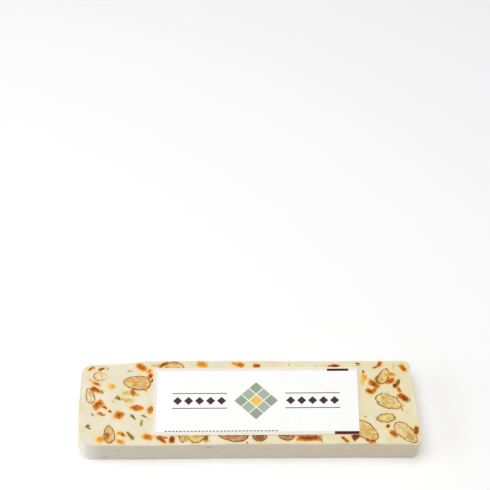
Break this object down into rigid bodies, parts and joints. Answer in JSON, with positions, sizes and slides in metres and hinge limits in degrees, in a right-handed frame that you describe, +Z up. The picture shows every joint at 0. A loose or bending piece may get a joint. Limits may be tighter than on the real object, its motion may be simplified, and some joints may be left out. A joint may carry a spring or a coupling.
{
  "type": "nougat bar",
  "caption": "Flat bar of soft white nougat whose broad faces show cut almonds, with a paper label lying on top.",
  "frame": {"origin": "middle of the bar's footprint, on the surface that it lies on", "axes": "+X along the bar, +Y from its plain front long side to its back long side, +Z up out of the labelled face"},
  "size_m": [0.2019, 0.06, 0.0161],
  "materials": {
    "nougat": "soft, creamy white, slightly translucent, matte on its long sides",
    "almond": "cut blanched-through almond flesh with a thin brown skin",
    "peel": "candied orange peel, moist and translucent",
    "pistachio": "small olive-green nut chips",
    "label": "smooth white paper with a small plain printed ornament"
  },
  "bodies": {
    "root": {"almond_left_01": "almond", "almond_right_01": "almond", "almond_top_01": "almond", "almond_top_02": "almond", "almond_top_03": "almond", "almond_top_04": "almond", "almond_top_05": "almond", "almond_top_06": "almond", "almond_top_07": "almond", "almond_top_08": "almond", "almond_top_09": "almond", "almond_top_10": "almond", "almond_top_11": "almond", "almond_top_12": "almond", "almond_top_13": "almond", "almond_top_14": "almond", "almond_top_15": "almond", "almond_under_01": "almond", "almond_under_02": "almond", "almond_under_03": "almond", "almond_under_04": "almond", "almond_under_05": "almond", "almond_under_06": "almond", "almond_under_07": "almond", "almond_under_08": "almond", "almond_under_09": "almond", "almond_under_10": "almond", "almond_under_11": "almond", "almond_under_12": "almond", "almond_under_13": "almond", "almond_under_14": "almond", "label": "label", "nougat": "nougat"}
  },
  "joints": []
}
